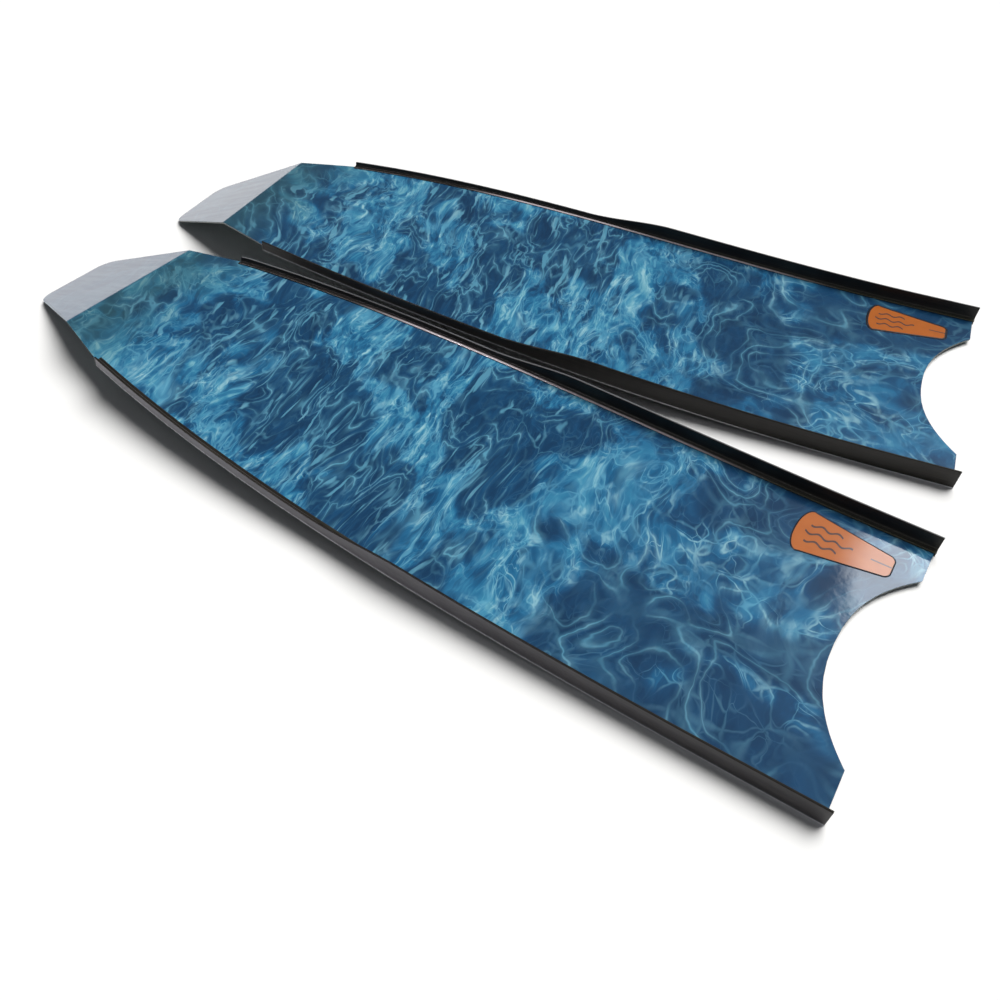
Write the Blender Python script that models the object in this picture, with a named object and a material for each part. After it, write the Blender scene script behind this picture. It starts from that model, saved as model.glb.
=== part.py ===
"""A pair of long fin blades: glass-fibre sheets with rubber side rails, lying side by side on a floor.

Frame: metres, +Z up, floor at z = 0. +X points to the foot ends, -X to the tips, and the two blades
mirror each other about y = 0. Each blade is drawn in its own blade coordinates and then placed:
s runs along the blade from the foot line to the tip, v across it towards +Y, and w out of its face.
"""

import bpy
import bmesh
import math
from mathutils import Matrix

# Layout of the pair
FOOT_SPACING = 0.2743           # between the centres of the two foot ends
FAN_ANGLE = math.radians(4.76)  # each blade's turn towards the other, foot to tip
FOOT_LINE_X = 0.35304           # puts the box centre of the pair at x = 0

# Plan of one blade
CREASE = 0.628                  # foot line to the fold of the tip flap
FLAP_LENGTH = 0.093
RAIL_END = 0.574                # the straight tip sides start here, short of the fold
RAIL_LENGTHS = {                # each rail is cut by hand near the start of the tip sides
    "left": {"outer": 0.571, "inner": 0.580},
    "right": {"outer": 0.575, "inner": 0.573},
}
FOOT_HALF_WIDTH = 0.1035        # edge of the sheet at the foot
FLARE = 0.0104                  # how much it widens first
TAPER = 0.0454                  # how much it narrows by the crease
TAPER_POWER = 3.3
TIP_HALF_WIDTH = 0.0347
TIP_CORNER_RADIUS = 0.011

# Foot cut-out, a round-bottomed notch between two tabs
NOTCH_HALF_WIDTH = 0.0735
NOTCH_DEPTH = 0.0302
NOTCH_POWER = 2.4
TAB_CORNER = 0.0014

# Side view: the foot is flat, then each blade bows up to its own crease height
FLAT_FOOT = 0.044
BOW = {"left": (0.0443, -0.0194), "right": (0.0888, -0.0593)}

# Stack of layers, from the printed face down
PRINT_PLY = 0.00025
CORE = 0.0009
BACK_PLY = 0.00025
LAYER_GAP = 0.00015
LONG_PLY_END = 0.430
SHORT_PLY_END = 0.270
BACK_PLY_INSET = 0.0065

# Side rail section: a clamp round the sheet's edge with an upstanding lip and a foot below
RAIL_OUT = 0.0017               # outer face, beyond the sheet's edge
RAIL_IN = 0.0040                # how far the clamp reaches over the sheet
RAIL_BELOW = 0.0040             # underside, below the printed face
LIP_THICK = 0.0015
LIP_HIGH = 0.0114               # lip height at the foot
LIP_LOW = 0.0043                # lip height at the tip
LIP_STEP = 0.302                # middle of the step between the two
LIP_STEP_LENGTH = 0.080
RAIL_OVERHANG = 0.0012          # past the tabs at the foot
RAIL_RAKE = 0.02                # slant of the foot end's cut
SLOT_DEPTH = 0.0005             # slot floor, beyond the sheet's edge
FLANGE_HIGH = 0.0010            # clamp's upper flange, above the printed face
FLANGE_EDGE = 0.0006            # and at its inner edge
FLANGE_UNDER = 0.0014           # clamp's lower flange, below the sheet
KEEL_IN = 0.0006                # inner side of the underside, inside the sheet's edge
LIP_ROOT_WIDE = 0.0008          # hollow curve where the lip meets the flange
LIP_ROOT_HIGH = 0.0013
CHAMFER = 0.0004

# Adhesive bead in the slot's floor
BEAD_NEAR = 0.00012
BEAD_FAR = 0.00038

# Label, a wedge with a bowed wide end
LABEL_CENTRE = 0.0730
LABEL_START = 0.0175
LABEL_END = 0.0815
LABEL_HALF_NARROW = 0.0092
LABEL_HALF_WIDE = 0.0196
LABEL_BOW = 0.0062
LABEL_THICK = 0.00015
LABEL_CORNER = 0.0026
LABEL_BOW_ROUND = 0.985         # 1 would close the bowed end to a point

# Spacing of the cross sections along a sheet and along a rail
STATION_STEP = 0.018
RAIL_STEP = 0.033
LABEL_STEP = 0.012

GLASS_BACK = (0.20, 0.24, 0.25)
PRINT_BLUE = (0.06, 0.20, 0.33)
PLY_GREY = (0.30, 0.33, 0.32)
RUBBER_BLACK = (0.012, 0.012, 0.012)
RESIN_AMBER = (0.45, 0.38, 0.26)
LABEL_ORANGE = (0.80, 0.24, 0.05)


def clear_scene():
    for obj in list(bpy.data.objects):
        bpy.data.objects.remove(obj, do_unlink=True)


def material(name, color, roughness):
    mat = bpy.data.materials.new(name)
    mat.use_nodes = True
    shader = mat.node_tree.nodes["Principled BSDF"]
    shader.inputs["Base Color"].default_value = (*color, 1.0)
    shader.inputs["Roughness"].default_value = roughness
    shader.inputs["Metallic"].default_value = 0.0
    return mat


def spread(start, end, step):
    """Evenly spaced values from start to end, no further apart than step."""
    count = max(1, math.ceil((end - start) / step))
    return [start + (end - start) * i / count for i in range(count + 1)]


def smoothstep(x):
    x = min(1.0, max(0.0, x))
    return x * x * (3.0 - 2.0 * x)


def edge(s):
    """Half-width of the sheet at s."""
    if s <= RAIL_END:
        t = max(0.0, s) / CREASE
        return FOOT_HALF_WIDTH + FLARE * t - TAPER * t ** TAPER_POWER
    along = (s - RAIL_END) / (CREASE + FLAP_LENGTH - RAIL_END)
    start = edge(RAIL_END)
    return start + (TIP_HALF_WIDTH - start) * along


def lip_height(s):
    rise = smoothstep((LIP_STEP + LIP_STEP_LENGTH / 2.0 - s) / LIP_STEP_LENGTH)
    return LIP_LOW + (LIP_HIGH - LIP_LOW) * rise


class Spine:
    """Side view of one blade: where s is, and which way the face looks there."""

    def __init__(self, bow):
        self.bow = bow
        crease_x, crease_z, self.crease_slope = self.body(CREASE)
        sheet = PRINT_PLY + LAYER_GAP + CORE
        drop = crease_z + RAIL_BELOW - sheet
        self.flap_slope = -math.asin(drop / FLAP_LENGTH)

    def body(self, s):
        square, cube = self.bow
        run = CREASE - FLAT_FOOT
        t = max(0.0, s - FLAT_FOOT) / run
        height = square * t ** 2 + cube * t ** 3
        slope = (2.0 * square * t + 3.0 * cube * t ** 2) / run
        return -s, height, math.atan(slope)

    def place(self, s, v, w):
        """Blade coordinates to the blade's own frame, with the floor at z = 0."""
        x, z, angle = self.body(min(s, CREASE))
        stretch = 1.0
        past = s - CREASE
        if abs(past) < 1e-9:
            half_fold = (self.crease_slope - self.flap_slope) / 2.0
            angle = self.crease_slope - half_fold
            stretch = 1.0 / math.cos(half_fold)
        elif past > 0.0:
            angle = self.flap_slope
            x -= past * math.cos(angle)
            z += past * math.sin(angle)
        x += w * stretch * math.sin(angle)
        z += w * stretch * math.cos(angle)
        return x, v, z + RAIL_BELOW


def finish(bm, name, mat, frame):
    bmesh.ops.recalc_face_normals(bm, faces=bm.faces)
    mesh = bpy.data.meshes.new(name)
    bm.to_mesh(mesh)
    bm.free()
    mesh.materials.append(mat)
    mesh.shade_smooth()
    mesh.set_sharp_from_angle(angle=math.radians(30.0))
    obj = bpy.data.objects.new(name, mesh)
    bpy.context.scene.collection.objects.link(obj)
    obj.parent = frame
    return obj


def slab(name, spine, tiles, top, bottom, mat, frame):
    """A layer between two depths, from flat tiles of (s, v) corners that share their edges."""
    bm = bmesh.new()
    corners = {}

    def corner(s, v, w):
        key = (round(s, 7), round(v, 7), w)
        if key not in corners:
            corners[key] = bm.verts.new(spine.place(s, v, w))
        return corners[key]

    sides = {}
    for tile in tiles:
        bm.faces.new([corner(s, v, top) for s, v in tile])
        bm.faces.new([corner(s, v, bottom) for s, v in reversed(tile)])
        for a, b in zip(tile, tile[1:] + tile[:1]):
            sides[(corner(*a, top), corner(*b, top))] = (a, b)
    for (first, second), (a, b) in sides.items():
        if (second, first) not in sides:
            bm.faces.new([second, first, corner(*a, bottom), corner(*b, bottom)])
    finish(bm, name, mat, frame)


def loft(name, rings, mat, frame):
    """A solid through closed rings of points, with a flat cap at each end."""
    bm = bmesh.new()
    verts = [[bm.verts.new(point) for point in ring] for ring in rings]
    for ring, following in zip(verts, verts[1:]):
        count = len(ring)
        for i in range(count):
            j = (i + 1) % count
            bm.faces.new([ring[i], ring[j], following[j], following[i]])
    bm.faces.new(list(reversed(verts[0])))
    bm.faces.new(verts[-1])
    finish(bm, name, mat, frame)


def strip_tiles(stations):
    """Quads between stations (s, low v, high v)."""
    tiles = []
    for (s0, low0, high0), (s1, low1, high1) in zip(stations, stations[1:]):
        tiles.append([(s0, high0), (s0, low0), (s1, low1), (s1, high1)])
    return tiles


def notch_side(grow):
    """One side of the foot cut-out, from the tab's corner to the middle, grown outwards."""
    half = NOTCH_HALF_WIDTH + grow
    depth = NOTCH_DEPTH + grow
    fractions = (0.95, 0.88, 0.78, 0.66, 0.52, 0.36, 0.18)
    curve = [(depth * (1.0 - f ** NOTCH_POWER), half * f) for f in fractions]
    corner = [(0.0, half + TAB_CORNER), (TAB_CORNER / 5.0, half)]
    return corner + curve


def foot_tile(inset, grow):
    """The flat foot end as one tile: two tabs with the cut-out between them."""
    outer = [(s, edge(s) - inset) for s in (FLAT_FOOT, FLAT_FOOT / 2.0, 0.0)]
    half = outer + notch_side(grow)
    middle = [(NOTCH_DEPTH + grow, 0.0)]
    return half + middle + [(s, -v) for s, v in reversed(half)]


def body_stations(end, inset):
    return [(s, inset - edge(s), edge(s) - inset) for s in spread(FLAT_FOOT, end, STATION_STEP)]


def tip_stations():
    """From the rails' end over the crease to the flap's rounded end."""
    end = CREASE + FLAP_LENGTH
    stations = [(s, -edge(s), edge(s)) for s in (CREASE, end - TIP_CORNER_RADIUS)]
    for step in (1, 2, 3, 4, 5):
        turn = math.radians(18.0 * step)
        s = end - TIP_CORNER_RADIUS * (1.0 - math.sin(turn))
        half = edge(s) - TIP_CORNER_RADIUS * (1.0 - math.cos(turn))
        stations.append((s, -half, half))
    return stations


def full_sheet(name, spine, top, thickness, mat, frame):
    stations = body_stations(RAIL_END, 0.0) + tip_stations()
    tiles = [foot_tile(0.0, 0.0)] + strip_tiles(stations)
    slab(name, spine, tiles, top, top - thickness, mat, frame)


def back_ply(name, spine, top, end, inset, mat, frame):
    tiles = [foot_tile(inset, inset / 2.0)] + strip_tiles(body_stations(end, inset))
    slab(name, spine, tiles, top, top - BACK_PLY, mat, frame)


def rail_stations(end):
    low = LIP_STEP - LIP_STEP_LENGTH / 2.0
    high = LIP_STEP + LIP_STEP_LENGTH / 2.0
    first = spread(0.0, low, RAIL_STEP)
    step = spread(low, high, RAIL_STEP / 4.0)
    last = spread(high, min(end, RAIL_END), RAIL_STEP)
    past_end = [end] if end > RAIL_END else []
    return first + step[1:] + last[1:] + past_end


def rail_section(s):
    """Closed outline (v beyond the sheet's edge, w above its face) of the rail at s."""
    top = lip_height(s)
    sheet_under = -(PRINT_PLY + LAYER_GAP + CORE)
    lip_in = RAIL_OUT - LIP_THICK
    return [
        (-RAIL_IN, LAYER_GAP),
        (SLOT_DEPTH, LAYER_GAP),
        (SLOT_DEPTH, sheet_under - LAYER_GAP),
        (-RAIL_IN, sheet_under - LAYER_GAP),
        (-RAIL_IN + CHAMFER, sheet_under - FLANGE_UNDER + CHAMFER / 2.0),
        (-2.0 * KEEL_IN, sheet_under - FLANGE_UNDER),
        (-KEEL_IN, -RAIL_BELOW),
        (RAIL_OUT - CHAMFER, -RAIL_BELOW),
        (RAIL_OUT, -RAIL_BELOW + CHAMFER),
        (RAIL_OUT, top - CHAMFER),
        (RAIL_OUT - CHAMFER, top),
        (lip_in + CHAMFER, top),
        (lip_in, top - CHAMFER),
        (lip_in, FLANGE_HIGH + LIP_ROOT_HIGH),
        (lip_in - LIP_ROOT_WIDE / 4.0, FLANGE_HIGH + LIP_ROOT_HIGH / 3.0),
        (lip_in - LIP_ROOT_WIDE, FLANGE_HIGH),
        (-RAIL_IN + CHAMFER, FLANGE_HIGH),
        (-RAIL_IN, FLANGE_EDGE),
    ]


def rail(name, spine, side, end, mat, frame):
    rings = []
    for s in rail_stations(end):
        ring = []
        for v, w in rail_section(s):
            along = s
            if s == 0.0:
                along = -RAIL_OVERHANG - RAIL_RAKE * (w + RAIL_BELOW)
            ring.append(spine.place(along, side * (edge(s) + v), w))
        rings.append(ring)
    loft(name, rings, mat, frame)


def adhesive(name, spine, side, end, mat, frame):
    low = -(PRINT_PLY + LAYER_GAP + CORE)
    section = [(BEAD_NEAR, 0.0), (BEAD_FAR, 0.0), (BEAD_FAR, low), (BEAD_NEAR, low)]
    rings = []
    for s in rail_stations(end):
        rings.append([spine.place(s, side * (edge(s) + v), w) for v, w in section])
    loft(name, rings, mat, frame)


def label_half_width(s):
    along = (s - LABEL_START) / (LABEL_END - LABEL_BOW - LABEL_START)
    return LABEL_HALF_NARROW + (LABEL_HALF_WIDE - LABEL_HALF_NARROW) * min(1.0, along)


def label(name, spine, mat, frame):
    """A wedge with rounded narrow corners, whose wide end bows out."""
    first = LABEL_START + LABEL_CORNER
    halves = [(LABEL_START, LABEL_HALF_NARROW - LABEL_CORNER), (first, label_half_width(first))]
    for s in spread(first + LABEL_STEP, LABEL_END - LABEL_BOW - LABEL_CORNER, LABEL_STEP):
        halves.append((s, label_half_width(s)))
    for fraction in (0.12, 0.45, 0.75, 0.93, 1.0):
        s = LABEL_END - LABEL_BOW * (1.0 - fraction)
        halves.append((s, LABEL_HALF_WIDE * math.sqrt(1.0 - LABEL_BOW_ROUND * fraction ** 2)))
    stations = [(s, LABEL_CENTRE - half, LABEL_CENTRE + half) for s, half in halves]
    slab(name, spine, strip_tiles(stations), LAYER_GAP + LABEL_THICK, LAYER_GAP, mat, frame)


def blade(hand, side, mats):
    """One blade; side is -1 for the left blade at -Y and 1 for the right blade at +Y."""
    frame = bpy.data.objects.new(hand + "_blade_frame", None)
    bpy.context.scene.collection.objects.link(frame)
    frame.matrix_world = Matrix.Translation((FOOT_LINE_X, side * FOOT_SPACING / 2.0, 0.0)) @ \
        Matrix.Rotation(side * FAN_ANGLE, 4, "Z")
    spine = Spine(BOW[hand])
    core_top = -PRINT_PLY - LAYER_GAP
    long_top = core_top - CORE - LAYER_GAP
    short_top = long_top - BACK_PLY - LAYER_GAP
    full_sheet(hand + "_print_ply", spine, 0.0, PRINT_PLY, mats["print"], frame)
    full_sheet(hand + "_core_laminate", spine, core_top, CORE, mats["core"], frame)
    back_ply(hand + "_long_back_ply", spine, long_top, LONG_PLY_END, BACK_PLY_INSET, mats["ply"], frame)
    back_ply(hand + "_short_back_ply", spine, short_top, SHORT_PLY_END, 2.0 * BACK_PLY_INSET, mats["ply"], frame)
    for place, way in (("outer", side), ("inner", -side)):
        end = RAIL_LENGTHS[hand][place]
        rail(hand + "_" + place + "_rail", spine, way, end, mats["rubber"], frame)
        adhesive(hand + "_" + place + "_adhesive", spine, way, end, mats["resin"], frame)
    label(hand + "_label", spine, mats["label"], frame)


def main():
    clear_scene()
    mats = {
        "print": material("printed_laminate", PRINT_BLUE, 0.12),
        "core": material("glass_laminate", GLASS_BACK, 0.25),
        "ply": material("back_ply", PLY_GREY, 0.35),
        "rubber": material("rubber", RUBBER_BLACK, 0.45),
        "resin": material("adhesive", RESIN_AMBER, 0.30),
        "label": material("label", LABEL_ORANGE, 0.40),
    }
    blade("left", -1.0, mats)
    blade("right", 1.0, mats)


main()
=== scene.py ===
"""The pair of fin blades dressed for a studio picture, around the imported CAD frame.

Blade coordinates, as in the CAD source: s along the blade from the foot line to the tip, v across it
towards +Y, w out of the printed face. Metres throughout. On a rail v is counted outward from the
sheet's edge.
"""

import math

import bmesh
import bpy
from mathutils import Matrix, Vector


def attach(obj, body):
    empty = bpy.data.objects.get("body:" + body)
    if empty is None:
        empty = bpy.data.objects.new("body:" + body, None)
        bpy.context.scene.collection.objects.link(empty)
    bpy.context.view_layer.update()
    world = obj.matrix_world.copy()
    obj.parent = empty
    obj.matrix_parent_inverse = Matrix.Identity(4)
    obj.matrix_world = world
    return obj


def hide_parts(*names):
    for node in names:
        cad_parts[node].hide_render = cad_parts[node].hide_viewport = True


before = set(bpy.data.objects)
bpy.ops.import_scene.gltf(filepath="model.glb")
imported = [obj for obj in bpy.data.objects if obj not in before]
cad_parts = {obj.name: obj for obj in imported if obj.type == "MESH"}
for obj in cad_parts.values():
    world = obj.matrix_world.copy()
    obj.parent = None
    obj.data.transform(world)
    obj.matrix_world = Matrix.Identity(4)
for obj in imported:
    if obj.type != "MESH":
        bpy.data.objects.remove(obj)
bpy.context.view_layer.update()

# ---------------------------------------------------------------- dimensions shared with the CAD source
FOOT_SPACING = 0.2743
FAN_ANGLE = math.radians(4.76)
FOOT_LINE_X = 0.35304
CREASE = 0.628
FLAP_LENGTH = 0.093
RAIL_END = 0.574
RAIL_LENGTHS = {
    "left": {"outer": 0.571, "inner": 0.580},
    "right": {"outer": 0.575, "inner": 0.573},
}
FOOT_HALF_WIDTH = 0.1035
FLARE = 0.0104
TAPER = 0.0454
TAPER_POWER = 3.3
TIP_HALF_WIDTH = 0.0347
TIP_CORNER_RADIUS = 0.011
NOTCH_HALF_WIDTH = 0.0735
NOTCH_DEPTH = 0.0302
NOTCH_POWER = 2.4
FLAT_FOOT = 0.044
BOW = {"left": (0.0443, -0.0194), "right": (0.0888, -0.0593)}
PRINT_PLY = 0.00025
SHEET = 0.0013
RAIL_OUT = 0.0017
RAIL_IN = 0.0040
RAIL_BELOW = 0.0040
LIP_THICK = 0.0015
LIP_HIGH = 0.0114
LIP_LOW = 0.0043
LIP_STEP = 0.302
LIP_STEP_LENGTH = 0.080
RAIL_OVERHANG = 0.0012
RAIL_RAKE = 0.02
LABEL_CENTRE = 0.0730
LABEL_START = 0.0175
LABEL_END = 0.0815
LABEL_HALF_NARROW = 0.0092
LABEL_HALF_WIDE = 0.0196
LABEL_BOW = 0.0062

# ---------------------------------------------------------------- dimensions of the visible model alone
BODY_STEP = 0.0062              # rows of the printed sheet
FLAP_STEP = 0.0090
CREASE_ROWS = 0.0012            # the rows on each side of the crease
AT_CREASE = 1e-9
TIP_CORNER_ROWS = 6
NOTCH_COLUMNS = 14
TAB_COLUMNS = 6
NOTCH_SETTLE = 0.110            # where the rows stop following the cut-out
CORNER_POINTS = 5
CORNER_REACH = 0.45             # the most of a side that one rounded corner takes
RAIL_STEP = 0.010
RAIL_STEP_FINE = 0.005          # where the lip steps down
RAIL_TIP_OVERHANG = 0.0006
RAIL_TIP_RAKE = 0.10
RAIL_FOOT_ROWS = 0.02           # rows nearer the foot than this make room for the raked end
RAIL_FOOT_PULL = 0.98
SHARP_SHEET = 50.0              # degrees between faces that make an edge sharp
SHARP_RAIL = 38.0
SHARP_STICKER = 60.0

SLOT_GAP = 0.0001               # between rubber and sheet
SLOT_GAP_BELOW = 0.00012
SLOT_END = 0.0005               # beyond the sheet's edge
FLANGE_TOP = 0.00100
GROOVE_TOP = (-0.00195, -0.00135)
GROOVE_FLOOR = (-0.00180, -0.00150)
GROOVE_HEIGHT = 0.00078
BEAD_HIGH = 0.00115
BEAD_OUT = 0.00034
LIP_ROOT = 0.0024

LABEL_TOP = 0.00030
LABEL_EDGE = 0.00006            # height of the film's outer edge
LABEL_ROLL = 0.00012            # the edge rolls over this width
LABEL_DOME = 0.00003
LABEL_RIM = {"left": 0.00095, "right": 0.00190}
LABEL_FILL = 0.0005             # first ring of faces inside the inked rim
LABEL_CORNER = 0.0042
LABEL_CORNER_ROWS = 6
LABEL_SIDE_STEP = 0.006
LABEL_SIDE_END = 0.003          # the straight side stops this far before the shoulder
LABEL_BOW_ROWS = 12
LABEL_SHOULDER = 0.0012         # the bowed end starts this far before the shoulder
LABEL_FULLNESS = 0.88           # 1 would be an ellipse, less is squarer

WAVE_LENGTH = 0.0105            # the printed mark: three waves and a rule
WAVE_SWING = 0.0013
WAVE_HALF = 0.00085
WAVES = (                       # across, middle and half length along
    (-0.0075, 0.0620, 0.0105),
    (0.0, 0.0590, 0.0155),
    (0.0075, 0.0620, 0.0105),
)
RULE_HALF = 0.00055
RULE_MIDDLE = 0.0252
RULE_HALF_LENGTH = 0.0065
INK_SOFTNESS = 0.00008

# ---------------------------------------------------------------- view and light
CAMERA_PLACE = (0.28546, -0.46643, 0.41870)
CAMERA_TILT = math.radians(90.0 - 47.163)
CAMERA_TURN = math.radians(28.963)
CAMERA_LENS = 30.45
CAMERA_SENSOR = 36.0
CAMERA_CLIP = (0.01, 100.0)

KEY_ENERGY = 4.05
KEY_SIZE = math.radians(42.0)
KEY_HEIGHT = math.radians(57.0)
KEY_HEADING = (0.28, 0.96, 0.0)
KEY_COLOR = (1.0, 0.99, 0.97)

AIR_COLOR = (0.90, 0.95, 1.0)
AIR_BAND = (0.12, 0.26)         # upward part of the direction, where the air darkens
AIR_LOW = 0.62
AIR_HIGH = 0.06

FOOT_SOFTBOX = {                # the haze on the near blade's inner tab
    "centre": (0.240, -0.200, 0.0),
    "azimuth": -16.3,
    "elevation": 43.3,
    "distance": 3.25,
    "width": 1.00,
    "height": 0.88,
    "color": (0.93, 0.97, 1.0),
    "strength": 7.0,
    "soft": 0.32,
}
SIDE_SOFTBOX = {                # the pale line along the inner edges of the rails
    "centre": (0.0, 0.0, 0.0),
    "azimuth": 116.0,
    "elevation": 65.5,
    "distance": 3.0,
    "width": 0.8,
    "height": 0.8,
    "color": (1.0, 0.93, 1.0),
    "strength": 40.0,
    "soft": 0.5,
}
FLOOR_HALF = 30.0
FLOOR_HEIGHT = -0.0002
FLOOR_TONES = ((0.925, 0.925, 0.925), (0.935, 0.935, 0.935))

# ---------------------------------------------------------------- colours of the printed water
WATER_DEEP = (0.0060, 0.0350, 0.0900)
WATER_DARK = (0.0085, 0.0600, 0.1480)
WATER_BLUE = (0.0140, 0.1240, 0.2650)
WATER_LIGHT = (0.0400, 0.2250, 0.3800)
WATER_PALE = (0.1350, 0.3700, 0.4800)
WATER_LINE = (0.1400, 0.4300, 0.6000)
WATER_PEAK = (0.4300, 0.6600, 0.6700)
WATER_TEAL = (0.0330, 0.0980, 0.1000)
FLAP_BLUE = (0.0080, 0.0440, 0.1350)
# streaks on the flap, their pale lavender a painted sheen
FLAP_STREAK_AND_SHEEN = (0.060, 0.100, 0.185)
FLAP_FADE = 0.0004              # half the width over which the print turns into the flap's colours
SEED = {"left": 1.7, "right": 6.4}
SWAY = 0.075                    # how far the slow noise bends the pattern
FOOT_SWAY = {"left": 0.075, "right": 0.034}
FOOT_SHADE = {"left": 0.006, "right": 0.045}

# ---------------------------------------------------------------- colours of the other materials
RUBBER_DARK = (0.0070, 0.0062, 0.0048)
RUBBER_MIDDLE = (0.0140, 0.0120, 0.0088)
RUBBER_LIGHT = (0.0290, 0.0245, 0.0180)
# painted reflection of the pale floor on the rails' outer faces
RUBBER_PAINTED_REFLECTION = (0.34, 0.33, 0.37)
# painted highlight along the bead at the rail's bottom edge
RUBBER_PAINTED_BEAD_HIGHLIGHT = (0.85, 0.85, 0.88)
RUBBER_FLANGE = (0.085, 0.085, 0.064)
RUBBER_GROOVE = (0.090, 0.085, 0.080)
# painted highlight on the lip's top outer edge
RUBBER_PAINTED_CREST_HIGHLIGHT = (0.300, 0.310, 0.340)
# painted highlight along the rails' inner edge
RUBBER_PAINTED_TRIM_HIGHLIGHT = (0.80, 0.70, 0.74)
CORE_WEAVE = ((0.030, 0.055, 0.060), (0.075, 0.115, 0.115), 0.0016)
PLY_WEAVE = ((0.045, 0.065, 0.060), (0.120, 0.150, 0.135), 0.0011)
GLUE_TONES = ((0.30, 0.24, 0.15), (0.50, 0.43, 0.31))
ORANGE_TONES = ((0.385, 0.094, 0.008), (0.475, 0.130, 0.014))
MARK_INK = (0.030, 0.030, 0.040)
RIM_INK = ((0.020, 0.020, 0.026), (0.060, 0.050, 0.050))

PAINTED_REFLECTION_ELSEWHERE = 0.08          # only the rail nearest the camera has the painted grey reflection on its outside at full strength
RUBBER_MARKS = ("bead", "outside", "flange", "trim", "groove", "painted_crest_highlight")

HANDS = {"left": -1.0, "right": 1.0}


# ---------------------------------------------------------------- camera
def camera():
    data = bpy.data.cameras.new("camera")
    data.sensor_width = CAMERA_SENSOR
    data.lens = CAMERA_LENS
    data.clip_start, data.clip_end = CAMERA_CLIP
    cam = bpy.data.objects.new("camera", data)
    bpy.context.scene.collection.objects.link(cam)
    cam.location = CAMERA_PLACE
    cam.rotation_euler = (CAMERA_TILT, 0.0, CAMERA_TURN)
    bpy.context.scene.camera = cam


# ---------------------------------------------------------------- shape of a blade
def smoothstep(x):
    x = min(1.0, max(0.0, x))
    return x * x * (3.0 - 2.0 * x)


def spread(start, end, step):
    """Even values from start to end, no further apart than step."""
    count = max(1, math.ceil((end - start) / step))
    return [start + (end - start) * i / count for i in range(count + 1)]


def edge(s):
    """Half the sheet's width, before the tip corners are rounded."""
    if s <= RAIL_END:
        t = max(0.0, s) / CREASE
        return FOOT_HALF_WIDTH + FLARE * t - TAPER * t ** TAPER_POWER
    along = (s - RAIL_END) / (CREASE + FLAP_LENGTH - RAIL_END)
    start = edge(RAIL_END)
    return start + (TIP_HALF_WIDTH - start) * along


def lip_height(s):
    """Height of the lip above the printed face: high near the foot, low near the tip."""
    rise = smoothstep((LIP_STEP + LIP_STEP_LENGTH / 2.0 - s) / LIP_STEP_LENGTH)
    return LIP_LOW + (LIP_HIGH - LIP_LOW) * rise


class Spine:
    """Side view of a blade, and its place in the world."""

    def __init__(self, hand):
        side = HANDS[hand]
        self.bow = BOW[hand]
        self.world = Matrix.Translation((FOOT_LINE_X, side * FOOT_SPACING / 2.0, 0.0)) @ \
            Matrix.Rotation(side * FAN_ANGLE, 4, "Z")
        z, self.crease_slope = self.body(CREASE)[1:]
        self.flap_slope = -math.asin((z + RAIL_BELOW - SHEET) / FLAP_LENGTH)

    def body(self, s):
        """Local x, z and slope angle of the bowed part."""
        square, cube = self.bow
        run = CREASE - FLAT_FOOT
        t = max(0.0, s - FLAT_FOOT) / run
        height = square * t ** 2 + cube * t ** 3
        slope = (2.0 * square * t + 3.0 * cube * t ** 2) / run
        return -s, height, math.atan(slope)

    def place(self, s, v, w):
        """World point of blade coordinates; rows on the crease are mitred."""
        x, z, angle = self.body(min(s, CREASE))
        stretch = 1.0
        past = s - CREASE
        if abs(past) < AT_CREASE:
            half_fold = (self.crease_slope - self.flap_slope) / 2.0
            angle = self.crease_slope - half_fold
            stretch = 1.0 / math.cos(half_fold)
        elif past > 0.0:
            angle = self.flap_slope
            x -= past * math.cos(angle)
            z += past * math.sin(angle)
        x += w * stretch * math.sin(angle)
        z += w * stretch * math.cos(angle)
        return self.world @ Vector((x, v, z + RAIL_BELOW))


def add_piece(bm, name, mats, sharp):
    """Links a mesh whose faces carry their blade coordinates in the UV map called blade."""
    bmesh.ops.recalc_face_normals(bm, faces=bm.faces)
    mesh = bpy.data.meshes.new(name)
    bm.to_mesh(mesh)
    bm.free()
    for mat in mats:
        mesh.materials.append(mat)
    mesh.shade_smooth()
    mesh.set_sharp_from_angle(angle=math.radians(sharp))
    obj = bpy.data.objects.new(name, mesh)
    bpy.context.scene.collection.objects.link(obj)
    return obj


def set_uv(bm, uv_of):
    layer = bm.loops.layers.uv.new("blade")
    for face in bm.faces:
        for loop in face.loops:
            loop[layer].uv = uv_of[loop.vert]


def sheet_rows():
    """Values of s from the foot to the flap's end, closer at the fold and the end."""
    end = CREASE + FLAP_LENGTH
    body = spread(0.0, CREASE - CREASE_ROWS, BODY_STEP)
    flap = spread(CREASE + CREASE_ROWS, end - TIP_CORNER_RADIUS, FLAP_STEP)
    turns = [math.radians(90.0 * k / TIP_CORNER_ROWS) for k in range(1, TIP_CORNER_ROWS + 1)]
    corner = [end - TIP_CORNER_RADIUS * (1.0 - math.sin(t)) for t in turns]
    return body + [CREASE] + flap + corner


def half_width(s):
    """Half the sheet's width, with the tip corners rounded."""
    over = s - (CREASE + FLAP_LENGTH - TIP_CORNER_RADIUS)
    if over <= 0.0:
        return edge(s)
    inside = math.sqrt(max(0.0, 1.0 - (over / TIP_CORNER_RADIUS) ** 2))
    return edge(s) - TIP_CORNER_RADIUS * (1.0 - inside)


def notch(v):
    """Depth of the foot cut-out at v."""
    return NOTCH_DEPTH * max(0.0, 1.0 - abs(v / NOTCH_HALF_WIDTH) ** NOTCH_POWER)


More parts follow.
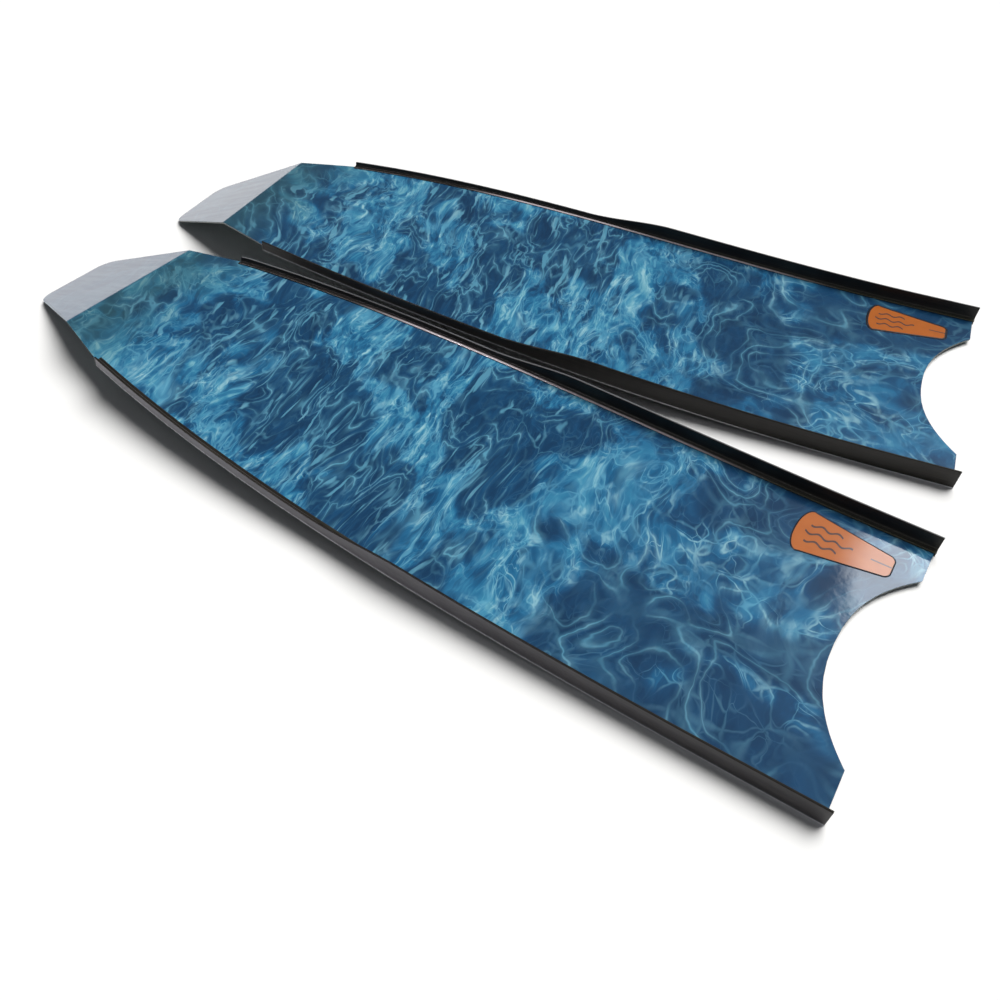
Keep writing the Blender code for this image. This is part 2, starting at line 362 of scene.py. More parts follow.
def print_sheet(hand, spine, mat):
    """The printed ply as one fine closed sheet, its foot end shaped by the cut-out."""
    near_tab = NOTCH_HALF_WIDTH / FOOT_HALF_WIDTH
    turns = [math.radians(90.0 * k / NOTCH_COLUMNS) for k in range(NOTCH_COLUMNS + 1)]
    inner = [near_tab * math.sin(turn) for turn in turns]
    outer = [near_tab + (1.0 - near_tab) * k / TAB_COLUMNS for k in range(1, TAB_COLUMNS + 1)]
    half = inner + outer
    fractions = [-f for f in reversed(half[1:])] + half
    bm = bmesh.new()
    uv_of = {}
    grids = []
    for w in (0.0, -PRINT_PLY):
        grid = []
        for s_row in sheet_rows():
            row = []
            for f in fractions:
                start = notch(f * FOOT_HALF_WIDTH)
                s = s_row + start * max(0.0, 1.0 - s_row / NOTCH_SETTLE)
                v = f * half_width(s)
                vert = bm.verts.new(spine.place(s, v, w))
                uv_of[vert] = (s, v)
                row.append(vert)
            grid.append(row)
        grids.append(grid)
    top, low = grids
    rows, columns = len(top), len(fractions)
    for i in range(rows - 1):
        for j in range(columns - 1):
            bm.faces.new([top[i][j], top[i][j + 1], top[i + 1][j + 1], top[i + 1][j]])
            bm.faces.new([low[i][j], low[i + 1][j], low[i + 1][j + 1], low[i][j + 1]])
    loop = [(0, j) for j in range(columns)]
    loop += [(i, columns - 1) for i in range(1, rows)]
    loop += [(rows - 1, j) for j in range(columns - 2, -1, -1)]
    loop += [(i, 0) for i in range(rows - 2, 0, -1)]
    for (i, j), (k, m) in zip(loop, loop[1:] + loop[:1]):
        bm.faces.new([top[i][j], low[i][j], low[k][m], top[k][m]])
    set_uv(bm, uv_of)
    piece = add_piece(bm, hand + "_printed_sheet", [mat], SHARP_SHEET)
    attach(piece, hand + "_blade")
    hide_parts(hand + "_print_ply")


def round_corners(points):
    """Closed outline with each corner (v, w, radius) turned into an arc."""
    outline = []
    count = len(points)
    for i, (x, y, radius) in enumerate(points):
        here = Vector((x, y))
        if radius == 0.0:
            outline.append(here)
            continue
        before = Vector(points[i - 1][:2]) - here
        after = Vector(points[(i + 1) % count][:2]) - here
        turn = before.angle(after)
        most = CORNER_REACH * min(before.length, after.length)
        reach = min(radius / math.tan(turn / 2.0), most)
        a = here + before.normalized() * reach
        b = here + after.normalized() * reach
        for k in range(CORNER_POINTS):
            t = k / (CORNER_POINTS - 1)
            outline.append((1 - t) ** 2 * a + 2 * t * (1 - t) * here + t ** 2 * b)
    return outline


def rail_outline(s):
    """Section of the rubber rail: clamp, flange with a groove, lip, and a bead along the underside."""
    top = lip_height(s)
    under = -SHEET
    lip_in = RAIL_OUT - LIP_THICK
    low = -RAIL_BELOW
    mouth = -RAIL_IN + SLOT_GAP
    slot = [
        (mouth, SLOT_GAP, 0.0),
        (SLOT_END, SLOT_GAP, 0.0),
        (SLOT_END, under - SLOT_GAP_BELOW, 0.0),
        (mouth, under - SLOT_GAP_BELOW, 0.0),
    ]
    jaw = [
        (-RAIL_IN + 0.0003, under - 0.0012, 0.0003),
        (-0.0012, under - 0.0014, 0.0005),
        (-0.0006, low, 0.0003),
    ]
    bead = [
        (RAIL_OUT + 0.00015, low, 0.00025),
        (RAIL_OUT + BEAD_OUT, low + 0.00075, 0.0002),
        (RAIL_OUT, low + BEAD_HIGH, 0.0),
    ]
    lip = [
        (RAIL_OUT, top * 0.35, 0.0),
        (RAIL_OUT, top * 0.70, 0.0),
        (RAIL_OUT, top, 0.00045),
        (lip_in, top, 0.00035),
        (lip_in, 0.5 * (top + LIP_ROOT), 0.0),
        (lip_in, LIP_ROOT, 0.0),
        (lip_in - 0.0004, 0.0011, 0.0005),
    ]
    groove = [
        (GROOVE_TOP[1], FLANGE_TOP, 0.0),
        (GROOVE_FLOOR[1], GROOVE_HEIGHT, 0.0),
        (GROOVE_FLOOR[0], GROOVE_HEIGHT, 0.0),
        (GROOVE_TOP[0], FLANGE_TOP, 0.0),
    ]
    nose = [
        (-RAIL_IN + 0.00072, 0.00098, 0.0),
        (-RAIL_IN + 0.00006, 0.00060, 0.0),
        (-RAIL_IN, 0.00050, 0.0),
    ]
    return round_corners(slot + jaw + bead + lip + groove + nose)


def rubber_marks(s, v, w, way, near):
    """Whether a point of the rail's section is in each area that rubber() tints.

    The small margins only keep points that lie on an area's own border inside it.
    """
    # bead, crest and trim mark where painted highlights go, outside where a painted reflection goes
    return {
        "bead": v > RAIL_OUT + 0.00003 and w > -RAIL_BELOW + 0.0001,
        "outside": v > RAIL_OUT - 0.00001,
        "flange": v < RAIL_OUT - LIP_THICK - 0.0001 and w > 0.0003,
        "trim": v < -RAIL_IN + 0.0008 and w > 0.0005 and not near,
        "groove": -0.0019 < v < -0.0014,
        "painted_crest_highlight": way > 0.0 and v > RAIL_OUT - 0.0005 and w > lip_height(s) - 0.0002,
    }


def rail_row(s, w, last):
    """Where a station's point really lies along the blade: both cut ends are raked."""
    if s == 0.0:
        return -RAIL_OVERHANG - RAIL_RAKE * (w + RAIL_BELOW)
    if s == last:
        return s + RAIL_TIP_OVERHANG - RAIL_TIP_RAKE * w
    if s < RAIL_FOOT_ROWS:
        return s * RAIL_FOOT_PULL
    return s


def rail(hand, spine, place, way, mat):
    """One rubber rail swept along the sheet's edge; way is the side of the blade, +1 or -1."""
    low = LIP_STEP - LIP_STEP_LENGTH / 2.0
    high = LIP_STEP + LIP_STEP_LENGTH / 2.0
    end = RAIL_LENGTHS[hand][place]
    stations = spread(0.0, low, RAIL_STEP)
    stations += spread(low, high, RAIL_STEP_FINE)[1:]
    stations += spread(high, min(end, RAIL_END), RAIL_STEP)[1:]
    if end > RAIL_END:
        stations.append(end)
    bm = bmesh.new()
    near = (hand, place) == ("left", "outer")
    strength = {"outside": 1.0 if near else PAINTED_REFLECTION_ELSEWHERE}
    layers = {name: bm.verts.layers.float.new(name) for name in RUBBER_MARKS}
    uv_of = {}
    rings = []
    for s in stations:
        outline = rail_outline(s)
        ring = []
        around = 0.0
        for i, (v, w) in enumerate(outline):
            if i:
                around += (outline[i] - outline[i - 1]).length
            along = rail_row(s, w, stations[-1])
            vert = bm.verts.new(spine.place(along, way * (edge(s) + v), w))
            for name, inside in rubber_marks(s, v, w, way, near).items():
                vert[layers[name]] = strength.get(name, 1.0) * float(inside)
            uv_of[vert] = (s, around)
            ring.append(vert)
        rings.append(ring)
    for ring, following in zip(rings, rings[1:]):
        count = len(ring)
        for i in range(count):
            j = (i + 1) % count
            bm.faces.new([ring[i], ring[j], following[j], following[i]])
    bm.faces.new(list(reversed(rings[0])))
    bm.faces.new(rings[-1])
    set_uv(bm, uv_of)
    piece = add_piece(bm, hand + "_" + place + "_rubber_rail", [mat], SHARP_RAIL)
    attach(piece, hand + "_blade")
    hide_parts(hand + "_" + place + "_rail")


def label_outline():
    """Rounded wedge, as (s, v from the label's centre line)."""
    shoulder = LABEL_END - LABEL_BOW
    grow = (LABEL_HALF_WIDE - LABEL_HALF_NARROW) / (shoulder - LABEL_START)
    half = []
    for k in range(LABEL_CORNER_ROWS + 1):
        turn = math.radians(90.0 * k / LABEL_CORNER_ROWS)
        s = LABEL_START + LABEL_CORNER * (1.0 - math.sin(turn))
        v = LABEL_HALF_NARROW - LABEL_CORNER * (1.0 - math.cos(turn)) + grow * (s - LABEL_START)
        half.append((s, v))
    half.reverse()
    half = [(LABEL_START, 0.0), (LABEL_START, 0.5 * half[0][1])] + half
    for s in spread(LABEL_START + LABEL_CORNER, shoulder - LABEL_SIDE_END, LABEL_SIDE_STEP)[1:]:
        half.append((s, LABEL_HALF_NARROW + grow * (s - LABEL_START)))
    for k in range(LABEL_BOW_ROWS + 1):
        turn = math.radians(90.0 * k / LABEL_BOW_ROWS)
        s = shoulder - LABEL_SHOULDER + (LABEL_BOW + LABEL_SHOULDER) * math.sin(turn)
        v = LABEL_HALF_WIDE * math.cos(turn) ** LABEL_FULLNESS
        half.append((s, v))
    return half + [(s, -v) for s, v in reversed(half[1:-1])]


def label(hand, spine, fill, ink):
    """The sticker: a soft-edged film with an inked rim, slightly domed at its edge."""
    ring = [Vector(p) for p in label_outline()]
    centre = Vector(((LABEL_START + LABEL_END) / 2.0, 0.0))
    bm = bmesh.new()
    uv_of = {}
    loops = []
    rim = LABEL_RIM[hand]
    steps = (
        (0.0, LABEL_EDGE),
        (LABEL_ROLL, LABEL_TOP - LABEL_DOME),
        (rim, LABEL_TOP),
        (rim + LABEL_FILL, LABEL_TOP),
    )
    for inset, w in steps:
        loop = []
        count = len(ring)
        for i, point in enumerate(ring):
            tangent = (ring[(i + 1) % count] - ring[i - 1]).normalized()
            normal = Vector((tangent.y, -tangent.x))
            if normal.dot(centre - point) < 0.0:
                normal = -normal
            inner = point + normal * inset
            vert = bm.verts.new(spine.place(inner.x, LABEL_CENTRE + inner.y, w))
            uv_of[vert] = (inner.x, inner.y)
            loop.append(vert)
        loops.append(loop)
    for k, (outer, inner) in enumerate(zip(loops, loops[1:])):
        for i in range(len(outer)):
            j = (i + 1) % len(outer)
            face = bm.faces.new([outer[i], outer[j], inner[j], inner[i]])
            face.material_index = 1 if k < 2 else 0
    last = loops[-1]
    count = len(last)
    bm.faces.new([last[0], last[1], last[-1]])
    for i in range(1, count // 2):
        a, b, c, d = last[i], last[i + 1], last[-i - 1], last[-i]
        bm.faces.new([a, b, c, d] if b is not c else [a, b, d])
    bm.faces.new(list(reversed(loops[0])))
    set_uv(bm, uv_of)
    piece = add_piece(bm, hand + "_sticker", [fill, ink], SHARP_STICKER)
    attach(piece, hand + "_blade")
    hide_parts(hand + "_label")


# ---------------------------------------------------------------- materials
class Graph:
    """Short helpers for building one material's nodes."""

    def __init__(self, name):
        self.mat = bpy.data.materials.new(name)
        self.mat.use_nodes = True
        self.tree = self.mat.node_tree
        self.shader = self.tree.nodes["Principled BSDF"]

    def link(self, value, socket):
        """Joins a socket to another, or sets its constant."""
        if isinstance(value, bpy.types.NodeSocket):
            self.tree.links.new(value, socket)
        elif isinstance(value, (tuple, list)) and len(value) == 3 and socket.type == "RGBA":
            socket.default_value = (*value, 1.0)
        else:
            socket.default_value = value

    def node(self, kind, **settings):
        made = self.tree.nodes.new(kind)
        for key, value in settings.items():
            setattr(made, key, value)
        return made

    def set(self, **values):
        """Sets the shader's own sockets."""
        for key, value in values.items():
            self.link(value, self.shader.inputs[key.replace("_", " ")])

    def math(self, how, a, b=0.0):
        made = self.node("ShaderNodeMath", operation=how)
        for value, socket in zip((a, b), made.inputs):
            self.link(value, socket)
        return made.outputs[0]

    def plus(self, a, b):
        return self.math("ADD", a, b)

    def minus(self, a, b):
        return self.math("SUBTRACT", a, b)

    def times(self, a, b):
        return self.math("MULTIPLY", a, b)

    def most(self, a, b):
        return self.math("MAXIMUM", a, b)

    def vector(self, how, a, b):
        """Vector maths; b is a number when how is SCALE."""
        made = self.node("ShaderNodeVectorMath", operation=how)
        self.link(a, made.inputs[0])
        self.link(b, made.inputs["Scale" if how == "SCALE" else 1])
        return made.outputs[0]

    def combine(self, x, y=0.0, z=0.0):
        made = self.node("ShaderNodeCombineXYZ")
        for value, socket in zip((x, y, z), made.inputs):
            self.link(value, socket)
        return made.outputs[0]

    def blade_coords(self):
        """s and v on the sheet and the sticker, s and the way round the section on a rail."""
        uv = self.node("ShaderNodeUVMap", uv_map="blade").outputs[0]
        split = self.node("ShaderNodeSeparateXYZ")
        self.link(uv, split.inputs[0])
        return split.outputs[0], split.outputs[1]

    def object_coords(self):
        return self.node("ShaderNodeTexCoord").outputs["Object"]

    def noise(self, vector, scale, detail=0.0, rough=0.5, color=False):
        made = self.node("ShaderNodeTexNoise")
        self.link(vector, made.inputs["Vector"])
        made.inputs["Scale"].default_value = scale
        made.inputs["Detail"].default_value = detail
        made.inputs["Roughness"].default_value = rough
        return made.outputs[1 if color else 0]

    def cells(self, vector, scale):
        """Distance to the walls between scattered cells."""
        made = self.node("ShaderNodeTexVoronoi", feature="DISTANCE_TO_EDGE")
        self.link(vector, made.inputs["Vector"])
        made.inputs["Scale"].default_value = scale
        return made.outputs["Distance"]

    def range(self, value, low, high, to_low=0.0, to_high=1.0):
        """Smooth step from to_low at low to to_high at high."""
        made = self.node("ShaderNodeMapRange", interpolation_type="SMOOTHSTEP")
        self.link(value, made.inputs["Value"])
        self.link(low, made.inputs["From Min"])
        self.link(high, made.inputs["From Max"])
        self.link(to_low, made.inputs["To Min"])
        self.link(to_high, made.inputs["To Max"])
        return made.outputs[0]

    def mix(self, factor, a, b):
        made = self.node("ShaderNodeMix", data_type="RGBA")
        self.link(factor, made.inputs[0])
        self.link(a, made.inputs[6])
        self.link(b, made.inputs[7])
        return made.outputs[2]

    def ramp(self, value, stops):
        made = self.node("ShaderNodeValToRGB")
        self.link(value, made.inputs[0])
        band = made.color_ramp
        while len(band.elements) < len(stops):
            band.elements.new(0.5)
        for element, (position, color) in zip(band.elements, stops):
            element.position = position
            element.color = (*color, 1.0)
        return made.outputs[0]

    def bump(self, height, strength, distance, normal=None):
        made = self.node("ShaderNodeBump")
        made.inputs["Strength"].default_value = strength
        made.inputs["Distance"].default_value = distance
        self.link(height, made.inputs["Height"])
        if normal is not None:
            self.link(normal, made.inputs["Normal"])
        return made.outputs[0]


def water_print(name, hand):
    """Sunlit sea water under clear resin: dark patches netted with thin bright lines.

    Most widths and weights change with s, because the photo's pattern is bolder near the foot.
    """
    g = Graph(name)
    s, v = g.blade_coords()
    seed = SEED[hand]
    half = (0.5, 0.5, 0.5)

    def ridge(field, width, level=0.5):
        """A line where the field crosses the level."""
        away = g.math("ABSOLUTE", g.minus(field, level))
        return g.range(away, 0.0, width, 1.0, 0.0)

    def drawn_out(place, along, across, detail, rough=0.5):
        """Noise with its own scale along and across the blade."""
        return g.noise(g.vector("MULTIPLY", place, (along, across, 1.0)), 1.0, detail, rough)

    # pattern coordinates: finer and slanted past the foot, bent by a slow and a quick noise
    finer = g.range(s, 0.15, 0.60)
    along = g.plus(s, g.times(finer, 0.46))
    slanted = g.minus(along, g.times(v, g.range(s, 0.10, 0.45, 0.02, 0.34)))
    flat = g.combine(slanted, v, seed)
    slow = g.vector("SUBTRACT", g.noise(flat, 11.0, 1.0, color=True), half)
    sway = g.range(s, 0.10, 0.42, FOOT_SWAY[hand], SWAY)
    bent = g.vector("ADD", flat, g.vector("SCALE", slow, sway))
    quick = g.vector("SUBTRACT", g.noise(bent, 52.0, 2.0, color=True), half)
    curl = g.range(s, 0.10, 0.38, 0.010, 0.018)
    folded = g.vector("ADD", bent, g.vector("SCALE", quick, curl))
    beside = g.vector("ADD", folded, (3.1, 7.7, 1.3))

    # sunlit patches, which grow less fine than the lines do
    patch = g.vector("SUBTRACT", bent, g.combine(g.times(finer, 0.24)))
    cover = g.noise(g.vector("ADD", patch, (9.0, 2.0, 5.0)), 12.5, 2.0)
    shade = g.range(s, 0.14, 0.38, FOOT_SHADE[hand], 0.0)
    lit = g.range(g.minus(cover, shade), 0.460, 0.575)

    def in_light(dark, bright):
        return g.range(lit, 0.0, 1.0, dark, bright)

    # depth of the water, 0 for the darkest
    big = g.noise(folded, 15.0, 1.0, 0.45)
    middle = g.noise(beside, 36.0, 1.0)
    brush = drawn_out(folded, 120.0, 46.0, 3.0, 0.62)
    ripple = drawn_out(folded, 96.0, 66.0, 1.0)
    glow = g.times(ridge(big, 0.13), 0.14)
    glow = g.plus(glow, g.times(ridge(middle, 0.12), 0.14))
    glow = g.plus(glow, g.range(big, 0.495, 0.525, 0.0, 0.12))
    glow = g.plus(glow, g.range(middle, 0.490, 0.525, 0.0, 0.13))
    glow = g.plus(glow, g.range(brush, 0.42, 0.66, 0.0, g.range(s, 0.08, 0.36, 0.18, 0.31)))
    glow = g.plus(glow, g.range(ripple, 0.47, 0.56, -0.03, 0.11))
    glow = g.times(glow, in_light(0.34, 1.05))
    pools = g.noise(g.vector("ADD", patch, (5.5, 1.2, 8.0)), 27.0, 1.0)
    pool = g.range(pools, 0.50, 0.70, 0.0, 0.30)
    glow = g.plus(glow, g.times(lit, g.plus(pool, 0.12)))
    glow = g.times(glow, g.range(s, 0.0, 0.34, 0.68, 0.97))

    # bright lines: a coarse and a fine net
    thick = g.range(g.noise(flat, 26.0, 1.0), 0.42, 0.68, 0.012, 0.070)
    web = g.range(g.cells(folded, 17.0), 0.0, thick, g.range(s, 0.10, 0.35, 0.22, 0.50), 0.0)
    thin = g.range(g.noise(beside, 38.0, 1.0), 0.42, 0.66, 0.010, 0.150)
    mesh = g.range(g.cells(beside, 43.0), 0.0, thin, 0.62, 0.0)
    mesh = g.times(mesh, in_light(g.range(s, 0.12, 0.36, 0.38, 0.12), 1.0))

    # nested loops round the big patches, small curls, and the rims of the ripples
    loops = g.plus(g.times(ridge(big, 0.009), 0.62), g.times(ridge(big, 0.040), 0.38))
    for level in (0.42, 0.585):
        sharp = g.times(ridge(big, 0.010, level), 0.50)
        broad = g.times(ridge(big, 0.034, level), 0.26)
        loops = g.most(loops, g.plus(sharp, broad))
    loops = g.times(loops, g.range(s, 0.04, 0.30, 0.62, 1.0))
    rims = g.times(ridge(ripple, 0.018, 0.56), g.range(s, 0.05, 0.25, 0.15, 0.55))
    curls = g.most(g.most(ridge(middle, 0.020), rims), g.times(ridge(middle, 0.026, 0.60), 0.75))
    curls = g.times(curls, in_light(0.15, 0.80))
    lines = g.most(g.most(web, mesh), g.most(loops, curls))
    lines = g.times(lines, g.range(g.noise(flat, 30.0, 1.0), 0.34, 0.62, 0.14, 1.0))

    # short strokes beyond the foot, and the brightest knots where lines cross brushed water
    stroke = drawn_out(beside, 88.0, 30.0, 1.0)
    lines = g.most(lines, g.times(g.range(stroke, 0.60, 0.70), g.range(s, 0.16, 0.30, 0.0, 0.85)))
    knots = g.times(lines, g.range(brush, g.range(s, 0.05, 0.30, 0.42, 0.48), 0.68))
    knots = g.times(knots, in_light(0.25, 1.0))

    water = g.ramp(glow, (
        (0.00, WATER_DEEP),
        (0.20, WATER_DARK),
        (0.46, WATER_BLUE),
        (0.76, WATER_LIGHT),
        (1.00, WATER_PALE),
    ))
    water = g.mix(g.times(lines, 0.68), water, WATER_LINE)
    water = g.mix(g.times(knots, 0.70), water, WATER_PEAK)

    # a teal cast beside the crease, and beyond it the flap, dark blue with streaks whose pale lavender
    # is painted sheen
    teal = g.range(g.plus(s, g.times(lit, 0.03)), 0.570, 0.640)
    water = g.mix(g.times(teal, 0.80), water, g.mix(0.66, water, WATER_TEAL))
    # streaks across the flap, tinted lavender as painted sheen
    flap_streaks_and_sheen = g.noise(g.combine(g.times(s, 26.0), g.times(v, 170.0), seed), 1.0, 3.0, 0.6)
    flap = g.mix(g.range(flap_streaks_and_sheen, 0.35, 0.70), FLAP_BLUE, FLAP_STREAK_AND_SHEEN)
    beyond = g.range(s, CREASE - FLAP_FADE, CREASE + FLAP_FADE, 0.0, 0.78)
    water = g.mix(beyond, water, flap)
    g.set(Base_Color=water, Roughness=0.32, Coat_Weight=1.0, Coat_Roughness=0.055, Coat_IOR=1.5)
    g.set(Specular_IOR_Level=0.25)

    # the resin's skin, and the slow swell of the sheet under it
    skin = g.noise(g.combine(s, v, seed), 160.0, 2.0)
    swell = g.noise(g.combine(s, v, seed), 22.0, 1.0)
    normal = g.bump(skin, 0.10, 0.0004)
    normal = g.bump(swell, 0.20, 0.0016, normal)
    g.set(Coat_Normal=normal, Normal=normal)
    return g.mat


def rubber():
    """Black rubber, tinted by the areas that rubber_marks() sets.

    The flange is brown near the foot, the outside has a painted grey reflection, the bead and the crest
    have painted highlights, and the inner edge has a painted pale highlight and is smooth.
    """
    g = Graph("extruded_rubber")
    s, around = g.blade_coords()
    streaks = g.noise(g.combine(g.times(s, 6.0), g.times(around, 900.0), 2.0), 1.0, 3.0)
    grain = g.noise(g.object_coords(), 1400.0, 2.0)
    cloud = g.noise(g.object_coords(), 30.0, 3.0)
    tone = g.ramp(g.times(streaks, g.range(cloud, 0.3, 0.7, 0.75, 1.2)), (
        (0.15, RUBBER_DARK),
        (0.55, RUBBER_MIDDLE),
        (0.90, RUBBER_LIGHT),
    ))

    def part(name):
        return g.node("ShaderNodeAttribute", attribute_name=name).outputs["Fac"]

    # painted reflection on the outside, paler towards the tip
    painted_reflection = g.range(s, 0.02, 0.50, 0.13, 0.62)
    painted_reflection = g.times(painted_reflection, g.range(g.plus(streaks, cloud), 0.7, 1.3, 0.75, 1.0))
    worn = g.range(s, 0.20, 0.38, 0.75, 0.0)
    # painted highlight on the inner edge, only over part of the rail's length
    painted_trim_highlight = g.times(g.range(s, 0.10, 0.20), g.range(s, 0.40, 0.47, 0.85, 0.0))
    tone = g.mix(g.times(part("outside"), painted_reflection), tone, RUBBER_PAINTED_REFLECTION)
    # painted highlight: a thin bright line along the bead
    tone = g.mix(g.times(part("bead"), 0.90), tone, RUBBER_PAINTED_BEAD_HIGHLIGHT)
    tone = g.mix(g.times(part("flange"), worn), tone, RUBBER_FLANGE)
    tone = g.mix(g.times(part("groove"), 0.70), tone, RUBBER_GROOVE)
    # painted highlight: a pale line along the lip's top outer edge
    tone = g.mix(g.times(part("painted_crest_highlight"), 0.85), tone, RUBBER_PAINTED_CREST_HIGHLIGHT)
    tone = g.mix(g.times(part("trim"), painted_trim_highlight), tone, RUBBER_PAINTED_TRIM_HIGHLIGHT)
    rough = g.range(streaks, 0.3, 0.7, 0.36, 0.50)
    rough = g.minus(rough, g.times(part("trim"), g.range(s, 0.36, 0.48, 0.26, 0.06)))
    g.set(Base_Color=tone, Roughness=rough, Specular_IOR_Level=0.32)
    normal = g.bump(streaks, 0.35, 0.0002)
    normal = g.bump(grain, 0.12, 0.0001, normal)
    g.set(Normal=normal)
    return g.mat


def glass_weave(name, dark, light, pitch):
    """Woven glass cloth in tinted resin."""
    g = Graph(name)
    place = g.object_coords()
    split = g.node("ShaderNodeSeparateXYZ")
    g.link(place, split.inputs[0])
    turn = 2.0 * math.pi / pitch
    warp = g.math("SINE", g.times(split.outputs[0], turn))
    weft = g.math("SINE", g.times(split.outputs[1], turn))
    over = g.times(warp, weft)
    cloth = g.range(over, -1.0, 1.0)
    cloud = g.noise(place, 26.0, 3.0)
    resin = g.noise(place, 420.0, 2.0)
    mixed = g.plus(g.times(cloth, 0.55), g.times(cloud, 0.45))
    rough = g.range(resin, 0.3, 0.7, 0.22, 0.36)
    g.set(Base_Color=g.mix(mixed, dark, light), Roughness=rough, Coat_Weight=0.4, Coat_Roughness=0.15)
    normal = g.bump(over, 0.35, 0.0001)
    normal = g.bump(resin, 0.15, 0.0001, normal)
    g.set(Normal=normal)
    return g.mat


def adhesive():
    g = Graph("cured_adhesive")
    lumps = g.noise(g.object_coords(), 600.0, 2.0)
    g.set(Base_Color=g.mix(lumps, *GLUE_TONES), Roughness=0.35)
    g.set(Normal=g.bump(lumps, 0.4, 0.0003))
    return g.mat


def sticker_fill():
    """Orange film, printed with a short rule and a generic mark of three waves."""
    g = Graph("sticker_orange")
    s, v = g.blade_coords()

    def band(value, centre, half):
        away = g.math("ABSOLUTE", g.minus(value, centre))
        return g.range(away, half, half + INK_SOFTNESS, 1.0, 0.0)

    marks = g.times(band(v, 0.0, RULE_HALF), band(s, RULE_MIDDLE, RULE_HALF_LENGTH))
    swing = g.times(g.math("SINE", g.times(s, 2.0 * math.pi / WAVE_LENGTH)), WAVE_SWING)
    level = g.minus(v, swing)
    for across, middle, half_length in WAVES:
        wave = g.times(band(level, across, WAVE_HALF), band(s, middle, half_length))
        marks = g.most(marks, wave)
    cloud = g.noise(g.combine(s, v, 0.0), 90.0, 2.0)
    tone = g.mix(cloud, *ORANGE_TONES)
    tone = g.mix(g.times(marks, 0.90), tone, MARK_INK)
    peel = g.noise(g.combine(s, v, 0.0), 900.0, 2.0)
    g.set(Base_Color=tone, Roughness=0.34, Coat_Weight=0.85, Coat_Roughness=0.06, Coat_IOR=1.5)
    g.set(Normal=g.bump(peel, 0.15, 0.0002))
    return g.mat


def sticker_ink():
    g = Graph("sticker_rim_ink")
    s, v = g.blade_coords()
    worn = g.noise(g.combine(s, v, 3.0), 500.0, 2.0)
    g.set(Base_Color=g.mix(g.range(worn, 0.5, 0.8), *RIM_INK), Roughness=0.35)
    g.set(Normal=g.bump(worn, 0.2, 0.0002))
    return g.mat


# ---------------------------------------------------------------- studio
def glow_material(name, color, strength, soft):
    """Light panel, brightest at its middle and fading to its edges."""
    mat = bpy.data.materials.new(name)
    mat.use_nodes = True
    tree = mat.node_tree
    tree.nodes.remove(tree.nodes["Principled BSDF"])
    coords = tree.nodes.new("ShaderNodeTexCoord")
    middle = tree.nodes.new("ShaderNodeVectorMath")
    middle.operation = "SUBTRACT"
    middle.inputs[1].default_value = (0.5, 0.5, 0.0)
    away = tree.nodes.new("ShaderNodeVectorMath")
    away.operation = "LENGTH"
    fade = tree.nodes.new("ShaderNodeMapRange")
    fade.interpolation_type = "SMOOTHSTEP"
    fade.inputs["From Min"].default_value = 0.5 * (1.0 - soft)
    fade.inputs["From Max"].default_value = 0.5
    fade.inputs["To Min"].default_value = strength
    fade.inputs["To Max"].default_value = 0.0
    light = tree.nodes.new("ShaderNodeEmission")
    light.inputs["Color"].default_value = (*color, 1.0)
    tree.links.new(coords.outputs["UV"], middle.inputs[0])
    tree.links.new(middle.outputs[0], away.inputs[0])
    tree.links.new(away.outputs["Value"], fade.inputs["Value"])
    tree.links.new(fade.outputs[0], light.inputs["Strength"])
    tree.links.new(light.outputs[0], tree.nodes["Material Output"].inputs["Surface"])
    return mat


def panel(name, centre, azimuth, elevation, distance, width, height, color, strength, soft):
    """A soft panel seen from centre at that heading, in degrees; only reflections show it."""
    a, e = math.radians(azimuth), math.radians(elevation)
    out = Vector((-math.sin(a) * math.cos(e), math.cos(a) * math.cos(e), math.sin(e)))
    bm = bmesh.new()
    bmesh.ops.create_grid(bm, x_segments=1, y_segments=1, size=0.5, calc_uvs=True)
    mesh = bpy.data.meshes.new(name)
    uv = bm.loops.layers.uv.verify()
    for face in bm.faces:
        for loop in face.loops:
            loop[uv].uv = (loop.vert.co.x + 0.5, loop.vert.co.y + 0.5)
    bm.to_mesh(mesh)
    bm.free()
    mesh.materials.append(glow_material(name + "_light", color, strength, soft))
    obj = bpy.data.objects.new(name, mesh)
    bpy.context.scene.collection.objects.link(obj)
    obj.location = Vector(centre) + out * distance
    obj.rotation_mode = "QUATERNION"
    obj.rotation_quaternion = (-out).to_track_quat("Z", "Y")
    obj.scale = (width, height, 1.0)
    obj.visible_camera = False
    obj.visible_diffuse = False
    obj.visible_shadow = False


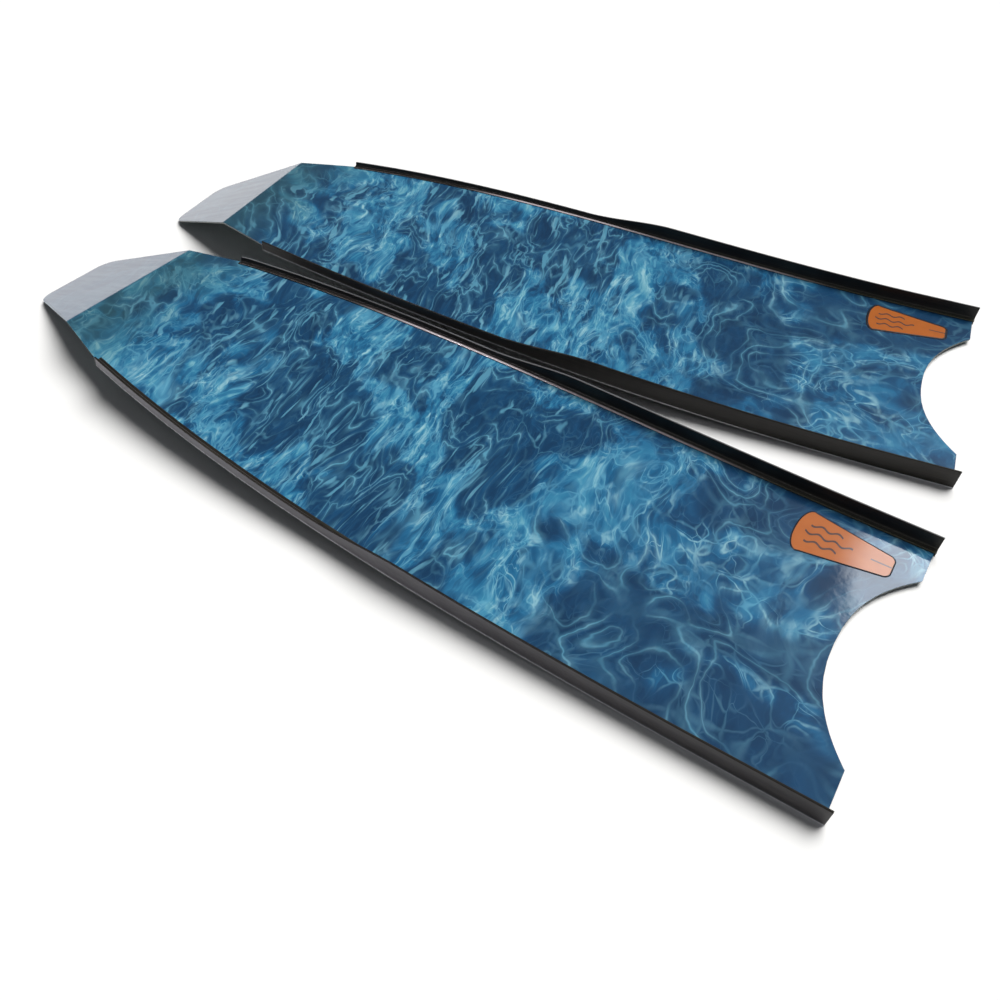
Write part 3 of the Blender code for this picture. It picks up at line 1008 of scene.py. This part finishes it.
def studio():
    scene = bpy.context.scene
    scene.view_settings.view_transform = "Standard"
    world = bpy.data.worlds.new("studio_air")
    scene.world = world
    world.use_nodes = True
    tree = world.node_tree
    back = tree.nodes["Background"]
    back.inputs["Color"].default_value = (*AIR_COLOR, 1.0)
    coords = tree.nodes.new("ShaderNodeTexCoord")
    split = tree.nodes.new("ShaderNodeSeparateXYZ")
    band = tree.nodes.new("ShaderNodeMapRange")
    band.interpolation_type = "SMOOTHSTEP"
    band.inputs["From Min"].default_value = AIR_BAND[0]
    band.inputs["From Max"].default_value = AIR_BAND[1]
    band.inputs["To Min"].default_value = AIR_LOW
    band.inputs["To Max"].default_value = AIR_HIGH
    tree.links.new(coords.outputs["Generated"], split.inputs[0])
    tree.links.new(split.outputs[2], band.inputs["Value"])
    tree.links.new(band.outputs[0], back.inputs["Strength"])

    key = bpy.data.lights.new("key_light", "SUN")
    key.energy = KEY_ENERGY
    key.angle = KEY_SIZE
    key.color = KEY_COLOR
    lamp = bpy.data.objects.new("key_light", key)
    scene.collection.objects.link(lamp)
    heading = Vector(KEY_HEADING).normalized()
    out = heading * math.cos(KEY_HEIGHT) + Vector((0.0, 0.0, math.sin(KEY_HEIGHT)))
    lamp.rotation_mode = "QUATERNION"
    lamp.rotation_quaternion = out.to_track_quat("Z", "Y")
    lamp.visible_glossy = False

    panel("foot_softbox", **FOOT_SOFTBOX)
    panel("side_softbox", **SIDE_SOFTBOX)

    bm = bmesh.new()
    bmesh.ops.create_grid(bm, x_segments=2, y_segments=2, size=FLOOR_HALF)
    mesh = bpy.data.meshes.new("studio_floor")
    bm.to_mesh(mesh)
    bm.free()
    g = Graph("white_floor")
    paper = g.noise(g.object_coords(), 3.0, 2.0)
    g.set(Base_Color=g.mix(paper, *FLOOR_TONES), Roughness=0.9, Specular_IOR_Level=0.1)
    mesh.materials.append(g.mat)
    floor = bpy.data.objects.new("studio_floor", mesh)
    floor.location = (0.0, 0.0, FLOOR_HEIGHT)
    scene.collection.objects.link(floor)


# ---------------------------------------------------------------- making
def dress_node(name, mat):
    """Puts a material on a CAD piece that is shown as it is."""
    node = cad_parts[name]
    for slot in node.material_slots:
        slot.material = mat


def main():
    camera()
    black = rubber()
    orange = sticker_fill()
    ink = sticker_ink()
    core = glass_weave("core_weave", *CORE_WEAVE)
    ply = glass_weave("back_ply_weave", *PLY_WEAVE)
    glue = adhesive()
    for hand, side in HANDS.items():
        spine = Spine(hand)
        print_sheet(hand, spine, water_print(hand + "_water_print", hand))
        for place, way in (("outer", side), ("inner", -side)):
            rail(hand, spine, place, way, black)
            dress_node(hand + "_" + place + "_adhesive", glue)
        label(hand, spine, orange, ink)
        dress_node(hand + "_core_laminate", core)
        dress_node(hand + "_long_back_ply", ply)
        dress_node(hand + "_short_back_ply", ply)
    studio()


main()
